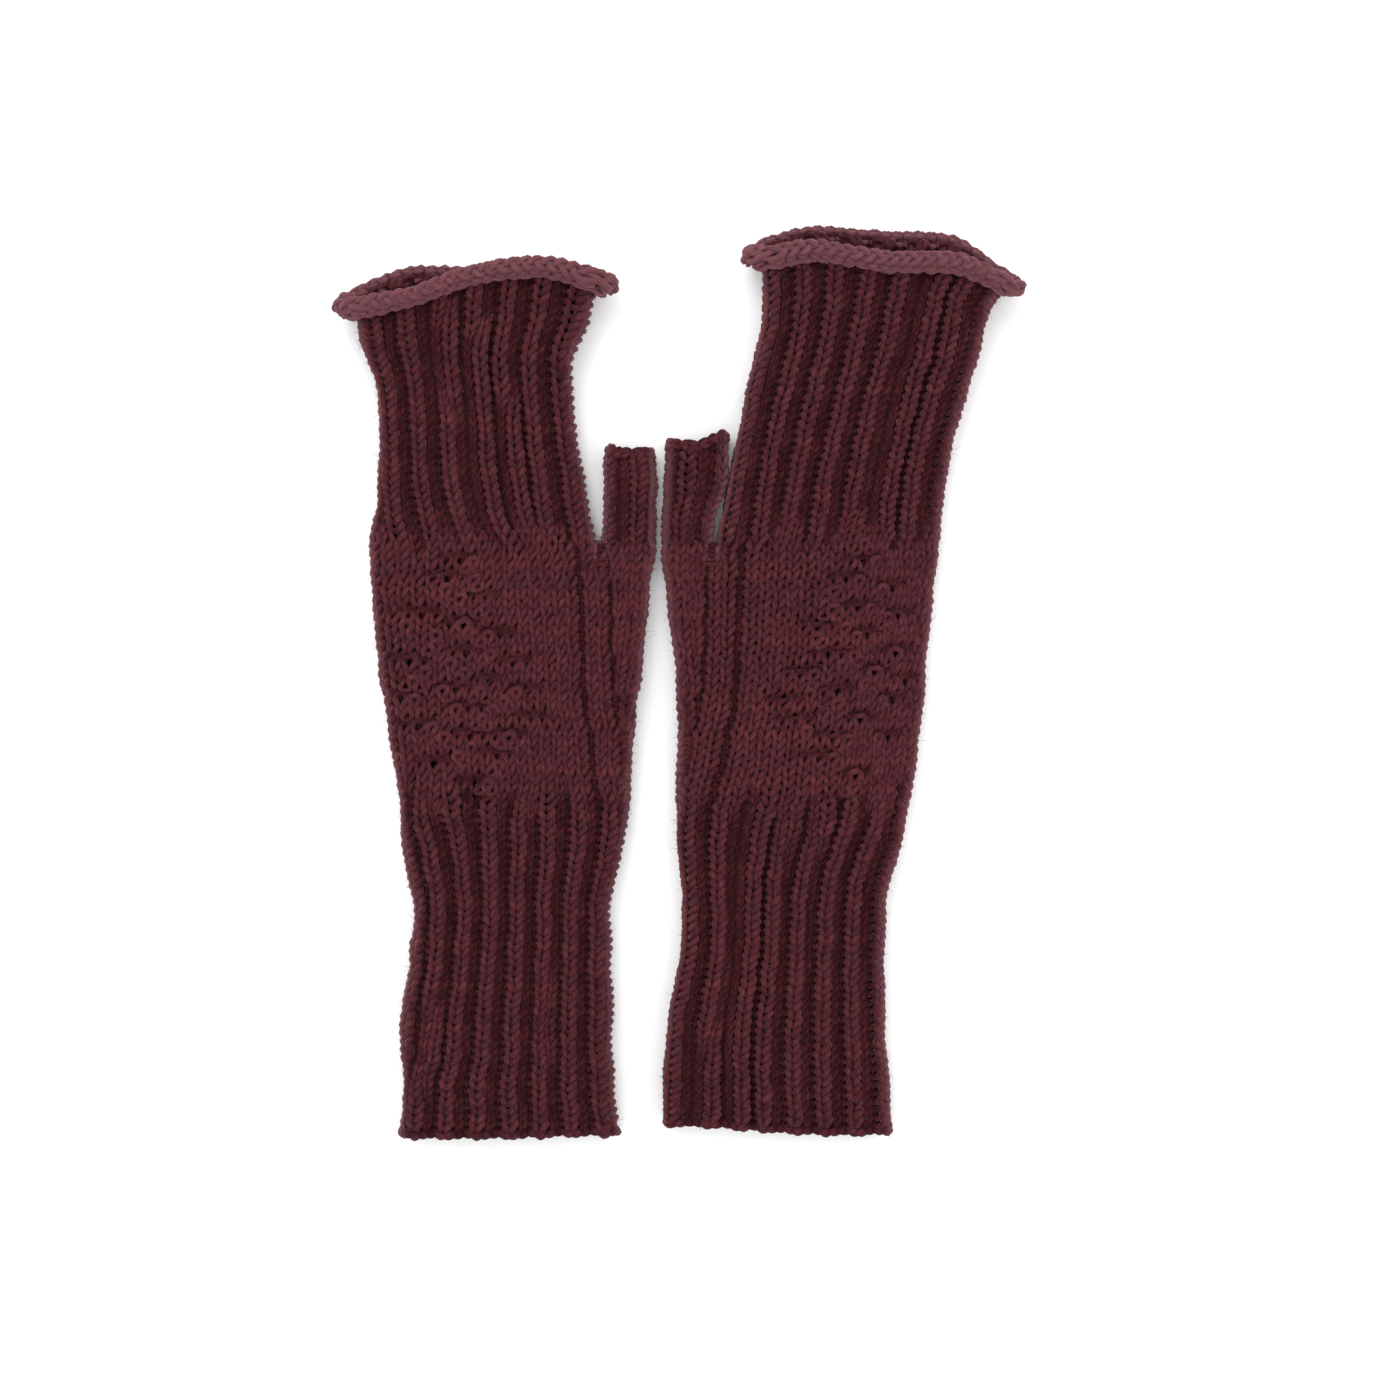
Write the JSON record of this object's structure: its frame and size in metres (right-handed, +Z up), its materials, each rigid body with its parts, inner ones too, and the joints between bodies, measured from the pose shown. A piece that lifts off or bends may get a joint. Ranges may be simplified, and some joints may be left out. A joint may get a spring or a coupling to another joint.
{
  "type": "fingerless knitted mitts",
  "caption": "Pair of long hand-knitted fingerless mitts with ribbed cuffs, a diamond motif, gusset thumbs and rolled rims, lying flat.",
  "frame": {"origin": "middle of the pair's outline, on the surface that it lies on", "axes": "+X across the pair from the left mitt to the right one, +Y from the cuffs to the fingers, +Z up from the table"},
  "size_m": [0.2474, 0.3306, 0.0258],
  "materials": {
    "wool_yarn": "worsted wool yarn, burgundy with dusty rose, brick and purple patches, hand-knitted, slightly fuzzy"
  },
  "bodies": {
    "left_hand": {"left_wrist_rib": "wool_yarn", "left_hand_tube": "wool_yarn", "left_diamond_motif": "wool_yarn", "left_thumb_gusset": "wool_yarn", "left_thumb_root": "wool_yarn", "left_knuckle_rib": "wool_yarn"},
    "left_cuff": {"left_cast_on_edge": "wool_yarn", "left_cuff_rib": "wool_yarn", "left_cast_on_tail": "wool_yarn"},
    "left_fingers": {"left_finger_rib": "wool_yarn", "left_rolled_rim": "wool_yarn", "left_bind_off_tail": "wool_yarn"},
    "left_thumb": {"left_thumb_rib": "wool_yarn", "left_thumb_bind_off": "wool_yarn", "left_thumb_tail": "wool_yarn"},
    "right_hand": {"right_wrist_rib": "wool_yarn", "right_hand_tube": "wool_yarn", "right_diamond_motif": "wool_yarn", "right_thumb_gusset": "wool_yarn", "right_thumb_root": "wool_yarn", "right_knuckle_rib": "wool_yarn"},
    "right_cuff": {"right_cast_on_edge": "wool_yarn", "right_cuff_rib": "wool_yarn", "right_cast_on_tail": "wool_yarn"},
    "right_fingers": {"right_finger_rib": "wool_yarn", "right_rolled_rim": "wool_yarn", "right_bind_off_tail": "wool_yarn"},
    "right_thumb": {"right_thumb_rib": "wool_yarn", "right_thumb_bind_off": "wool_yarn", "right_thumb_tail": "wool_yarn"}
  },
  "joints": [
    {"name": "pair_slide", "type": "slide", "parent": "left_hand", "child": "right_hand", "axis": [1, 0, 0], "range_m": [0, 0.2]},
    {"name": "left_wrist_fold", "type": "hinge", "parent": "left_hand", "child": "left_cuff", "pos_m": [-0.05991, -0.0843, 0.0124], "axis": [-1, 0, 0], "range_deg": [0, 90]},
    {"name": "left_knuckle_fold", "type": "hinge", "parent": "left_hand", "child": "left_fingers", "pos_m": [-0.07196, 0.0687, 0.0124], "axis": [1, 0, 0], "range_deg": [0, 90]},
    {"name": "left_thumb_fold", "type": "hinge", "parent": "left_hand", "child": "left_thumb", "pos_m": [-0.01846, 0.0587, 0.0124], "axis": [1, 0, 0], "range_deg": [0, 90]},
    {"name": "right_wrist_fold", "type": "hinge", "parent": "right_hand", "child": "right_cuff", "pos_m": [0.03714, -0.0861, 0.0124], "axis": [-1, 0, 0], "range_deg": [0, 90]},
    {"name": "right_knuckle_fold", "type": "hinge", "parent": "right_hand", "child": "right_fingers", "pos_m": [0.05604, 0.0687, 0.0124], "axis": [1, 0, 0], "range_deg": [0, 90]},
    {"name": "right_thumb_fold", "type": "hinge", "parent": "right_hand", "child": "right_thumb", "pos_m": [0.00239, 0.0588, 0.0124], "axis": [1, 0, 0], "range_deg": [0, 90]}
  ]
}
